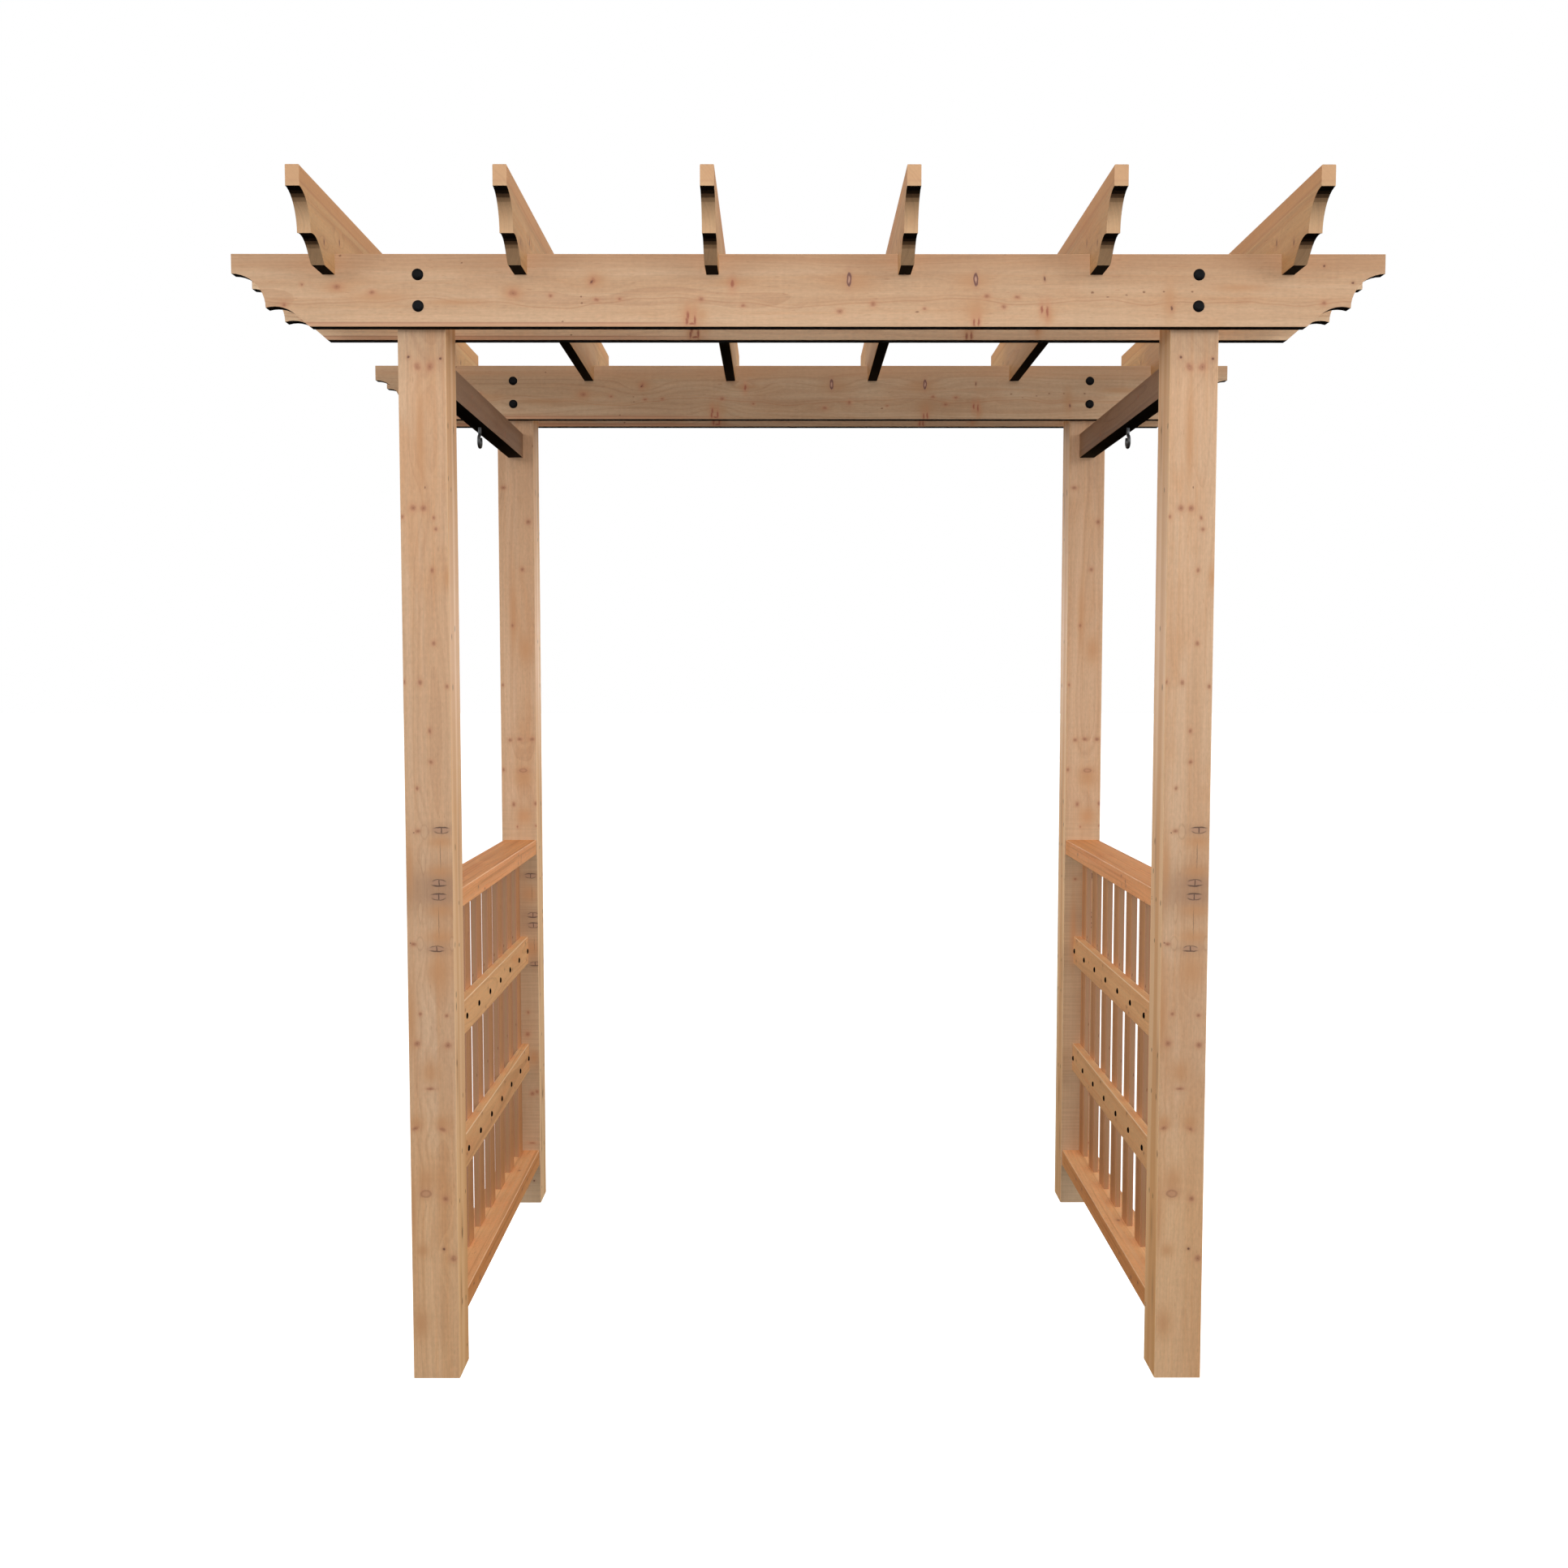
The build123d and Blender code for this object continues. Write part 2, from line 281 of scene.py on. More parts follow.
bar = ln.m("DIVIDE", ln.m("ABSOLUTE", ln.sub(lv, ln.mad(uu, -0.30, 0.82))), ln.mad(uu, -0.45, 1.0))
bar = ln.mul(ln.mul(ln.step(bar, 0.35, 0.05), ln.step(uu, 1.25, 0.20)), 0.95)
stroke = ln.mul(ln.step(ln.m("ABSOLUTE", lu), 0.11, 0.02), ln.step(ln.m("ABSOLUTE", ln.sub(lv, 0.05)), 1.0, 0.75))
ln.put(lo_.inputs["dark"], ln.m("MAXIMUM", ln.m("MAXIMUM", arc, bar), ln.mul(stroke, 0.90)))

# Knot colours over the bare wood. Each input is the distance to the nearest mark of its
# kind in radii, large where there is none.
MARKS, q, qi, qo = make_group(
    "marks",
    [("color", "c"), ("warm", "c")] + [(n, "f") for n in
     ("stain", "red", "dark", "ring", "grey", "greyv", "pale", "eye", "crack", "stroke", "speck")],
    [("color", "c"), ("core", "f")],
)
s = qi.outputs
col = s["color"]
col = q.mix(q.mul(q.bell(s["stain"], 1.1), 0.74), col, s["warm"])
# grey weathered stain round the old knots
col = q.mix(q.mul(q.bell(s["grey"], 0.22), 0.34), col, lin(158, 118, 94))
col = q.mix(q.mul(q.step(s["eye"], 1.05, 0.80), 0.34), col, lin(216, 180, 144))
eyeline = q.mul(q.step(s["eye"], 0.72, 0.98), q.step(s["eye"], 1.28, 1.02))
col = q.mix(q.mul(eyeline, 0.17), col, lin(146, 102, 78))
# red knots: soft halo, firm heart
col = q.mix(q.mul(q.bell(s["red"], 0.60), 0.42), col, lin(192, 130, 96))
redc = q.step(s["red"], 1.05, 0.30)
rr = q.m("SINE", q.mul(s["red"], 15.0))
col = q.mix(q.mul(redc, q.mad(rr, 0.10, 0.46)), col, lin(160, 102, 78))
col = q.mix(q.mul(q.step(s["red"], 0.50, 0.10), 0.32), col, lin(126, 78, 62))
# pale-hearted knots with a thin dark rim
col = q.mix(q.mul(q.bell(s["pale"], 0.35), 0.45), col, lin(186, 126, 94))
rim = q.mul(q.step(s["pale"], 0.45, 0.85), q.step(s["pale"], 1.25, 0.95))
col = q.mix(q.mul(q.step(s["pale"], 0.75, 0.35), 0.35), col, lin(192, 144, 114))
col = q.mix(q.mul(rim, 0.42), col, lin(148, 96, 74))
# ring knots: purple outline and a light centre
col = q.mix(q.mul(q.bell(s["ring"], 0.38), 0.45), col, lin(176, 124, 100))
rim = q.mul(q.step(s["ring"], 0.25, 0.80), q.step(s["ring"], 1.30, 0.95))
col = q.mix(q.mul(q.step(s["ring"], 0.8, 0.3), 0.6), col, lin(196, 158, 144))
col = q.mix(q.mul(rim, 0.85), col, lin(108, 72, 72))
# dark knots
col = q.mix(q.mul(q.bell(s["dark"], 0.60), 0.42), col, lin(176, 116, 86))
darkc = q.step(s["dark"], 0.95, 0.25)
col = q.mix(q.mul(darkc, 0.82), col, lin(98, 62, 56))
# grey knots: a slightly pink heart under the dark bars and arcs
col = q.mix(q.mul(q.step(s["grey"], 1.15, 0.6), 0.40), col, lin(178, 138, 118))
col = q.mix(q.mul(s["greyv"], 0.86), col, lin(70, 56, 54))
col = q.mix(q.mul(q.step(s["crack"], 1.1, 0.2), 0.62), col, lin(106, 76, 62))
# short reddish strokes where a knot runs across the grain
col = q.mix(q.mul(q.bell(s["stroke"], 0.22), 0.50), col, lin(196, 132, 98))
col = q.mix(q.mul(q.step(s["stroke"], 1.15, 0.35), 0.80), col, lin(158, 92, 72))
col = q.mix(q.mul(q.step(s["speck"], 1.1, 0.35), 0.72), col, lin(120, 76, 54))
q.put(qo.inputs["color"], col)
core = q.m("MAXIMUM", q.m("MAXIMUM", redc, darkc), q.step(s["grey"], 1.0, 0.7))
q.put(qo.inputs["core"], core)
KINDS = ("stain", "red", "dark", "ring", "grey", "pale", "eye", "crack", "stroke", "speck")


def wood(name, L, C, T, centre, palette, seed, pith=(0.01, -0.09), pitch=0.006, faces=None,
         cells=None, ringamt=0.20, fleck=0.35, blotch=0.6, stripe=0.35, bump=0.25,
         wobble=2.4, tint=None, arris=0.22, end=None):
    """A cedar material. L, C and T are the axes along, across and through the board.
    faces gives the marks of the wide faces ("wide") and of the other two ("side")."""
    mat = bpy.data.materials.new(name)
    mat.use_nodes = True
    tree = mat.node_tree
    tree.nodes.clear()
    n = Net(tree)
    coord = n.new("ShaderNodeTexCoord").outputs["Object"]
    sep = n.new("ShaderNodeSeparateXYZ")
    n.put(sep.inputs[0], coord)
    p = sep.outputs
    l = n.sub(p[L], centre[L])
    c = n.sub(p[C], centre[C])
    t = n.sub(p[T], centre[T])
    sd = seed
    if cells:  # several like boards in one node, spaced along an axis
        axis, stp, offset = cells
        idx = n.m("FLOOR", n.m("DIVIDE", n.sub(p[axis], offset), stp))
        sd = n.mad(idx, 7.31, seed)
        c = n.sub(n.sub(p[C], offset), n.mul(n.add(idx, 0.5), stp))
    geo = n.new("ShaderNodeNewGeometry")
    nsep = n.new("ShaderNodeSeparateXYZ")
    n.put(nsep.inputs[0], geo.outputs["True Normal"])
    nc = n.m("ABSOLUTE", nsep.outputs[C])
    nt = n.m("ABSOLUTE", nsep.outputs[T])
    nl = n.m("ABSOLUTE", nsep.outputs[L])
    side = n.m("GREATER_THAN", nc, nt)
    sawn = n.step(nl, 0.25, 0.75)
    faces = faces or {}
    far = {k: 99.0 for k in KINDS}
    far["greyv"] = 0.0
    vals = dict(far)
    wide, narrow = faces.get("wide", {}), faces.get("side", {})
    if wide or narrow:
        # on the wide faces c is the board's width, on the others its thickness
        cross = n.mixf(side, c, t) if narrow else c
        flat = n.xyz(n.mul(cross, 1000.0), n.mul(l, 1000.0), 0.0)
        wob = n.noise(n.xyz(n.mul(cross, 130.0), n.mul(l, 130.0), seed), 1.0, 2.0, 0.5, out=1)
        flat = n.vec("ADD", flat, n.vec("SCALE", n.vec("SUBTRACT", wob, (0.5, 0.5, 0.5)), scale=wobble))
        for k in KINDS:
            a = n.near(flat, wide[k]) if wide.get(k) else None
            b = n.near(flat, narrow[k]) if narrow.get(k) else None
            if a is None and b is None:
                continue
            if not narrow:
                vals[k] = a
            else:
                vals[k] = n.mixf(side, 99.0 if a is None else a, 99.0 if b is None else b)
        lens = None
        for it, way in zip(wide.get("grey", []), wide.get("way", [])):
            g = n.group(LENS, place=flat, c0=it[0], l0=it[1], wide=it[2], high=it[3], way=way)
            lens = g.outputs[0] if lens is None else n.m("MAXIMUM", lens, g.outputs[0])
        if lens is not None:
            # only the wide faces show the knots lengthwise
            vals["greyv"] = n.mul(lens, n.sub(1.0, side)) if narrow else lens
    eye = 0.0
    if wide.get("warp"):
        e = n.near(n.xyz(n.mul(c, 1000.0), n.mul(l, 1000.0), 0.0), wide["warp"])
        eye = n.bell(e, 1.0)
    q = n.group(WOOD, l=l, c=c, t=t, seed=sd, pithc=pith[0], pitht=pith[1], pitch=pitch,
                eye=eye, sawn=sawn, ringamt=ringamt, fleck=fleck, blotch=blotch, stripe=stripe,
                light=palette[0], mid=palette[1], warm=palette[2], dark=palette[3])
    colour = q.outputs["color"]
    if tint:
        colour = tint(n, colour, l, c, t, side)
    if wide or narrow:
        mk = n.group(MARKS, color=colour, warm=palette[2], **vals)
        colour = mk.outputs["color"]
    if end:  # sawn ends of another tone
        colour = n.mix(n.mul(sawn, 0.5), colour, end)
    # the arrises are a little lighter: partly wear, partly a painted highlight on the eased edges
    edge_wear_and_highlight = n.step(n.mul(nc, nt), 0.12, 0.42)
    colour = n.mix(n.mul(edge_wear_and_highlight, arris), colour, lin(244, 206, 162))
    # painted shade: downward faces are painted near black and made fully rough
    underside_shade = n.step(n.mul(nsep.outputs[2], -1.0), 0.72, 0.98)
    colour = n.mix(underside_shade, colour, lin(5, 3, 3))
    bsdf = n.new("ShaderNodeBsdfPrincipled")
    n.put(bsdf.inputs["Base Color"], colour)
    n.put(bsdf.inputs["Roughness"], n.mixf(underside_shade, q.outputs["rough"], 1.0))
    bsdf.inputs["Specular IOR Level"].default_value = 0.2
    bm = n.new("ShaderNodeBump")
    bm.inputs["Strength"].default_value = bump
    bm.inputs["Distance"].default_value = 0.001
    n.put(bm.inputs["Height"], q.outputs["height"])
    n.put(bsdf.inputs["Normal"], bm.outputs[0])
    out = n.new("ShaderNodeOutputMaterial")
    n.put(out.inputs["Surface"], bsdf.outputs[0])
    return mat


def finish_with(node, mat):
    me = nodes[node].data
    me.materials.clear()
    me.materials.append(mat)


# ------------------------------------------------------- palettes and marks
BEAM = (lin(207, 172, 139), lin(198, 160, 126), lin(194, 146, 107), lin(152, 94, 62))
POST = shade((lin(209, 174, 143), lin(202, 163, 130), lin(194, 143, 102), lin(150, 94, 66)), 1.10, 1.09, 1.05)
RAFT = shade((lin(205, 163, 120), lin(196, 152, 109), lin(196, 138, 90), lin(136, 88, 58)), 1.03, 1.03, 0.95)
# painted shade: the tie palette is darker than the other boards', for the shade under the rafters
TIE = shade((lin(160, 122, 94), lin(150, 113, 86), lin(146, 100, 72), lin(104, 68, 50)), 1.13, 1.20, 1.19)
RAIL = shade((lin(209, 150, 106), lin(199, 139, 95), lin(196, 126, 82), lin(142, 82, 52)), 1.58, 1.56, 1.38)
MIDR = shade((lin(207, 164, 114), lin(199, 153, 105), lin(196, 138, 90), lin(134, 86, 54)), 1.47, 1.40, 1.42)
SLAT = (lin(190, 143, 108), lin(180, 132, 98), lin(178, 122, 82), lin(118, 76, 54))
# painted light and shade: the four beams share one palette, scaled lighter on the front inner beam and darker on
# the two back beams
BEAMS = {"beam_front_outer": shade(BEAM, 1.03, 1.03, 1.02), "beam_front_inner": shade(BEAM, 1.36, 1.50, 1.55),
         "beam_back_inner": shade(BEAM, 0.90, 0.95, 0.96), "beam_back_outer": shade(BEAM, 0.90, 0.93, 0.93)}

# Marks on the crossbeams, in millimetres: c up the face from its middle, l along X
beam_marks = {
    "stain": [(5, 789, 7, 62), (-21, -650, 6, 60), (-5, -540, 16, 26), (19, -390, 16, 20),
              (16, 84, 20, 40), (16, 300, 18, 36), (-40, -214, 22, 24), (-36, 306, 24, 22),
              (4, -862, 12, 34), (-12, -790, 12, 60), (14, -139, 7, 34), (-20, 660, 34, 12), (-44, -196, 14, 12),
              (-46, 440, 16, 12)],
    "red": [(6.3, -861.9, 7, 9), (-3.9, -797.7, 5, 7.5), (-26.5, -958.2, 5.5, 5.5),
            (10.3, -925.3, 3.5, 4), (-5.1, -540, 8, 10), (-9.6, -471.9, 4, 5),
            (-17, -387.4, 4.5, 5.5), (-15.5, -344.9, 4, 5), (-15.5, -196.5, 5, 7),
            (-27.3, -119.4, 4, 5), (-37.7, 57.8, 5.5, 8), (-24.3, 118.3, 6, 7),
            (-10.2, 325.7, 5, 7), (-12.2, 381.8, 5, 6), (-29.3, 357, 4.5, 7),
            (-32.5, 212.3, 3, 5), (-22.8, 943.2, 5, 7), (17, -394, 9, 7, 0.5)],
    "stroke": [(-45, -220.5, 9, 3), (-55, -222.5, 8, 3.2), (-54, -208, 10, 2.8), (-60, -213, 2.4, 7),
               (-58, 303, 8, 2.9), (-57, 311.5, 9, 2.5), (12, -139.1, 8.5, 3.8), (-34, 427, 9, 2.8),
               (-38, 437, 11, 2.9)],
    "dark": [(21, 431.3, 6.5, 2.6), (-31.8, 664.9, 6, 3.4),
             (44, 941.7, 3, 3.4), (13.5, 995.5, 3.5, 3.5), (15, -396.1, 5, 2.8, 0.6)],
    "ring": [(19.7, 74.3, 12.2, 3.7), (19.8, 305.7, 10.8, 3.8)],
    "speck": [(62, -854.7, 2.5, 3), (-11, -416, 1.8, 2.5), (-23, -414.6, 1.8, 2.5),
              (49, -633, 2, 2.5), (-55.7, -449.6, 2, 3), (-3.9, 519.4, 2.4, 4),
              (-12.2, 546.9, 1.6, 3), (-8.4, 581.7, 1.6, 3), (-2.4, 612.9, 2.2, 3.5),
              (-2.4, 649.9, 1.8, 3), (-2.4, 701.4, 2.4, 3.5), (-38.5, 198.7, 2.2, 4)],
    "warp": [(-14, -800, 26, 110), (6, -862, 16, 60), (-20, -700, 18, 90), (19, 74, 20, 70),
             (19, 306, 18, 70), (-18, 380, 18, 90), (15, -395, 18, 60), (-28, 60, 16, 70),
             (12, -139, 14, 50), (-45, -215, 18, 50)],
}
# Marks on the posts, in millimetres: c is X from the post's middle, l is up from z = 1059.5
H = 1059.5
post_wide = {
    "stain": [(-4, 597 - H, 20, 24), (-33, 500 - H, 14, 16), (17, 500 - H, 14, 16),
              (-15, 388 - H, 20, 26), (-5.5, 1790 - H, 9, 110), (41, 1533 - H, 8, 22),
              (-29, 108 - H, 17, 30), (-24, 251 - H, 14, 14), (22, 1039 - H, 24, 13),
              (20, 982 - H, 26, 13), (19, 908 - H, 26, 14), (18, 857 - H, 30, 13), (14, 792 - H, 28, 34),
              (-37, 990 - H, 8, 70), (-40, 700 - H, 9, 80), (-42, 330 - H, 7, 90)],
    "red": [(-8.5, 1921 - H, 8, 10, 0.4), (15, 1921 - H, 8, 10, -0.4),
            (-20.2, 1662.3 - H, 8, 7), (-1.2, 1661.7 - H, 8, 7), (-40.5, 1646 - H, 4, 5),
            (17.7, 1644 - H, 4, 5), (21.3, 1623 - H, 5, 5), (13.3, 1547 - H, 4.5, 6),
            (14.5, 1411.5 - H, 5, 6), (-12.3, 1338.4 - H, 5, 7), (-41.7, 1339.3 - H, 3.5, 6),
            (38.1, 1330.8 - H, 4, 6), (4.3, 1247.5 - H, 4.5, 6), (5.6, 1189.3 - H, 5, 5),
            (-20.8, 1139.5 - H, 4, 5), (-20.6, 1059 - H, 6, 5), (-32.1, 844 - H, 6.5, 5),
            (-20.9, 710.3 - H, 4.5, 5), (28.8, 707.2 - H, 4.5, 5), (-28.2, 653.3 - H, 7, 7.5),
            (30.6, 650.2 - H, 7.5, 8), (21.8, 352.4 - H, 6.5, 7), (35.7, 235.5 - H, 8, 8, 0.7),
            (-4.4, 566 - H, 10, 4), (-34, 489.6 - H, 9, 5, 0.45), (17.5, 487.7 - H, 9, 5, -0.45)],
    "dark": [(-25, 1938.5 - H, 3.6, 4), (34.1, 1935.6 - H, 3.6, 4), (17.3, 254.3 - H, 4, 3.6)],
    "pale": [(-15.9, 362.2 - H, 10, 7)],
    "grey": [(23.7, 1060.7 - H, 16, 6.5), (17.9, 960.5 - H, 15.5, 7), (16.9, 934.5 - H, 15.5, 7),
             (11.6, 835.1 - H, 15.5, 6)],
    "way": [1, -1, 1, -1],
    "crack": [(21, 1012 - H, 0.95, 36), (16.2, 886 - H, 0.9, 38)],
    "eye": [(-8.6, 1057.5 - H, 6.5, 13.5), (-11.4, 999.2 - H, 3.9, 21), (-18.1, 905.3 - H, 3.6, 20),
            (-19.6, 845.1 - H, 6, 13), (40.7, 845.1 - H, 4.5, 13)],
    "speck": [(-28.5, 1056 - H, 1.8, 2), (-38, 846 - H, 1.8, 2), (2, 1700 - H, 1.6, 3)],
    "warp": [(-8.6, 1057 - H, 15, 60), (-15, 950 - H, 10, 60), (-19, 845 - H, 14, 55),
             (0, 680 - H, 30, 70), (-5, 590 - H, 22, 60), (-8, 505 - H, 34, 60),
             (-15, 400 - H, 20, 90), (3, 1925 - H, 26, 50), (-10, 1670 - H, 24, 60),
             (22, 240 - H, 20, 50)],
}
# The back posts carry the same board the other way round, and lower down
back_wide = {
    "stain": [(10.5, 1097 - H, 30, 26), (12, 1000 - H, 22, 24), (28, 660 - H, 26, 22), (30, 379 - H, 12, 20),
              (25, 800 - H, 24, 24), (-20, 700 - H, 9, 90), (-10, 1500 - H, 9, 110), (20, 1420 - H, 20, 40)],
    "red": [(-38.7, 1117 - H, 5, 6), (-14.1, 1029 - H, 6, 8), (41.4, 1031 - H, 5, 8), (-5.6, 972 - H, 3, 4),
            (42, 974.5 - H, 3, 4), (-16.7, 838.6 - H, 5, 4.5), (16.6, 495.7 - H, 4, 5), (14.8, 439.4 - H, 7, 8),
            (25.5, 285 - H, 7, 8), (37, 290 - H, 6, 7), (8, 42.7 - H, 7, 7), (24, 156.5 - H, 10, 4),
            (2.9, 1194 - H, 8, 6), (34, 1194 - H, 8, 6), (-21.2, 1192 - H, 7, 6), (-38, 1331 - H, 4, 5),
            (-31, 1823 - H, 9, 6), (14, 1620 - H, 6, 7), (-12, 1480 - H, 5, 6), (30, 1738 - H, 7, 8)],
    "dark": [(27.5, 57.1 - H, 4, 3.4), (44, 1926 - H, 2.4, 4)],
    "pale": [(10.8, 1115 - H, 9, 5)],
    "grey": [(26.2, 847 - H, 16, 6.5), (31.5, 746.5 - H, 15.5, 7), (32.5, 720.5 - H, 15.5, 7),
             (36, 621 - H, 15.5, 6)],
    "way": [1, -1, 1, -1],
    "crack": [(29.5, 803 - H, 0.9, 26), (34, 672 - H, 0.9, 26)],
    "speck": [(-44, 838 - H, 2, 3)],
    "warp": [(45, 846 - H, 15, 60), (10, 1115 - H, 30, 60), (-14, 1029 - H, 18, 60), (15, 439 - H, 18, 50),
             (28, 286 - H, 24, 50), (8, 43 - H, 18, 40), (-31, 1823 - H, 20, 60)],
}
side_left = [(-34.3, 1814.5, 2, 8), (15.7, 1814.3, 2, 11), (-38.6, 1716.8, 1.8, 6),
             (-14.6, 1699, 1.8, 6), (2, 1440.2, 2, 7), (-26.3, 1423.8, 2, 7), (-23, 1329.2, 2, 9),
             (-20.9, 1026.5, 2, 9), (7.2, 915.5, 2, 6), (-35.4, 841.5, 2, 8), (3.4, 835.1, 2, 6),
             (-30.9, 745, 2, 9), (-30.9, 722, 2, 12), (-32.6, 612.9, 2.4, 9), (-50, 564.7, 3, 5),
             (18.4, 537.5, 1.8, 6), (3.6, 431.3, 2, 7), (-24.7, 342.5, 2, 6), (30.7, 342.6, 2, 6),
             (-4.6, 272.3, 3.6, 14), (-13.4, 139.6, 2.4, 8), (20.8, 133.5, 2, 8), (27.1, 35.6, 2, 5)]
side_right = [(16.6, 1033.7, 2.4, 9), (24.8, 975.6, 1.8, 7), (0.8, 922.6, 2, 6),
              (-36.3, 920.8, 2.4, 7), (8.1, 842.2, 2, 6), (-41.5, 841.6, 2.4, 7),
              (16.9, 626.2, 2, 6), (-32, 627, 2, 8), (14.1, 547.1, 2.2, 7), (-23.9, 544.8, 2.2, 8),
              (-41, 438.1, 2.4, 9), (18.6, 349, 2, 7), (-10.6, 346.2, 2, 7),
              (15.7, 1814.3, 2, 11), (-34.3, 1814.5, 2, 8), (-14.6, 1699, 1.8, 6),
              (2, 1440.2, 2, 7), (-23, 1329.2, 2, 9), (35.3, 923.8, 1.6, 1.7), (35.3, 919.2, 1.6, 1.7),
              (36, 115.2, 1.6, 1.8), (36, 110.8, 1.6, 1.8)]


def post_marks(marks, back):
    k = -1 if back else 1
    return {"wide": back_wide if back else post_wide,
            "side": {"speck": [(k * c, z - H, rc * 1.9, rl) for c, z, rc, rl in marks],
                     "stain": [(-4, 285 - H, 9, 34), (-20, 160 - H, 8, 40), (14, 1790 - H, 7, 70),
                               (10, 1000 - H, 8, 120), (-30, 600 - H, 8, 60)]}}


def beam_tint(n, col, l, c, t, side):
    """The upper part of a board is a little more orange, with a thin reddish line below
    the edge of that band, and the bottom edge has the same towards one end."""
    up = n.step(c, 0.030, 0.046)
    col = n.mix(n.mul(up, 0.34), col, lin(192, 144, 106))
    low = n.step(c, -0.058, -0.0615)
    here = n.step(l, -0.10, -0.36)
    col = n.mix(n.mul(n.mul(low, here), 0.55), col, lin(204, 150, 116))
    line = n.bell(n.m("DIVIDE", n.add(c, 0.0585), 0.0013), 1.0)
    col = n.mix(n.mul(n.mul(line, here), 0.6), col, lin(168, 104, 80))
    wave = n.noise(None, 4.2, 2.0, 0.5, dims="1D", w=n.add(l, 3.7))
    off = n.add(c, n.mad(wave, 0.034, 0.005))
    one = n.bell(n.m("DIVIDE", off, 0.0011), 1.0)
    two = n.bell(n.m("DIVIDE", n.add(off, -0.0062), 0.0016), 1.0)
    return n.mix(n.m("MAXIMUM", n.mul(one, 0.36), n.mul(two, 0.16)), col, lin(172, 114, 78))


def rafter_tint(n, col, l, c, t, side):
    up = n.step(c, 0.034, 0.044)
    col = n.mix(n.mul(up, 0.45), col, lin(200, 138, 88))
    line = n.bell(n.m("DIVIDE", n.sub(c, 0.0385), 0.0022), 1.0)
    line2 = n.bell(n.m("DIVIDE", n.sub(c, 0.022), 0.004), 1.0)
    col = n.mix(n.mul(line, 0.42), col, lin(176, 112, 74))
    col = n.mix(n.mul(line2, 0.22), col, lin(186, 126, 84))
    return n.mix(n.step(l, 0.45, 0.60), col, n.mix(1.0, col, (1.24, 1.24, 1.08, 1.0), "MULTIPLY"))


def slat_tint(n, col, l, c, t, side):
    """Orange-brown wide faces with a thin reddish line, grey and purple-brown edges."""
    wav = n.noise(n.xyz(n.mul(l, 1.4), n.mul(c, 40.0), n.mul(t, 90.0)), 1.0, 2.0, 0.5)
    broad = n.mix(n.step(wav, 0.36, 0.64), lin(218, 160, 108), lin(202, 142, 96))
    line = n.bell(n.m("DIVIDE", n.sub(c, n.mad(n.sub(wav, 0.5), 0.004, 0.0105)), 0.0016), 1.0)
    broad = n.mix(n.mul(line, 0.5), broad, lin(160, 100, 74))
    u = n.mad(n.sub(wav, 0.5), 0.30, n.mad(n.m("ABSOLUTE", n.add(t, n.mul(0.0, c))), 1 / 0.0124, 0.0))
    edge = n.mix(n.step(u, 0.10, 0.40), lin(170, 134, 101), lin(175, 127, 99))
    col = n.mix(0.70, col, n.mix(side, broad, edge))
    return n.mix(n.step(l, -0.18, -0.34), col, n.mix(1.0, col, (0.91, 0.86, 0.75, 1.0), "MULTIPLY"))


def post_side_tint(n, col, l, c, t, side):
    b = n.noise(n.xyz(n.mul(l, 0.6), n.mul(t, 34.0), n.mul(c, 4.0)), 1.0, 2.0, 0.5)
    sidecol = n.mix(n.step(b, 0.38, 0.62), lin(251, 208, 160), lin(234, 180, 126))
    col = n.mix(n.mul(side, 0.88), col, sidecol)
    # painted shade: the top of the post is darkened just under the beam
    top = n.mixf(n.step(l, 0.81, 0.925), 1.0, 0.80)
    return n.mix(1.0, col, n.xyz(top, top, top), "MULTIPLY")


def dusk(n, col, l, at, side):
    """A brown-grey cloud across the board round a pair of grey knots."""
    d = n.bell(n.m("DIVIDE", n.sub(l, at), 0.050), 1.0)
    return n.mix(n.mul(n.mul(d, 0.50), n.sub(1.0, side)), col, lin(162, 122, 94))


def front_post_tint(n, col, l, c, t, side):
    """A front post is warmer towards the foot."""
    col = dusk(n, post_side_tint(n, col, l, c, t, side), l, -0.112, side)
    return n.mix(n.step(l, -0.40, -0.75), col, n.mix(1.0, col, (1.07, 1.02, 0.91, 1.0), "MULTIPLY"))


def back_post_tint(n, col, l, c, t, side):
    """The lower half of a back post is greyer, with fine saw lines across it."""
    col = dusk(n, post_side_tint(n, col, l, c, t, side), l, -0.326, side)
    saw_lines = n.noise(n.xyz(n.mul(l, 230.0), n.mul(c, 6.0), 0.0), 1.0, 1.0, 0.5)
    low = n.mul(n.step(l, 0.02, -0.14), n.sub(1.0, side))
    grey = n.mix(n.step(saw_lines, 0.36, 0.64), lin(182, 155, 124), lin(196, 167, 133))
    col = n.mix(n.mul(low, 0.66), col, grey)
    return n.mix(side, col, n.mix(1.0, col, (1.12, 1.14, 1.14, 1.0), "MULTIPLY"))


def rail_tint(n, col, l, c, t, side):
    """Lengthwise light and dark stripes."""
    b = n.noise(n.xyz(n.mul(l, 1.6), n.mul(c, 120.0), n.mul(t, 120.0)), 1.0, 1.0, 0.5)
    col = n.mix(n.mul(n.step(b, 0.52, 0.66), 0.42), col, lin(196, 122, 72))
    col = n.mix(n.mul(n.step(b, 0.46, 0.34), 0.30), col, lin(240, 180, 128))
    # the faces laid up are a little deeper than the edges
    return n.mix(n.mul(n.sub(1.0, side), 0.9), col, n.mix(1.0, col, (0.84, 0.79, 0.70, 1.0), "MULTIPLY"))


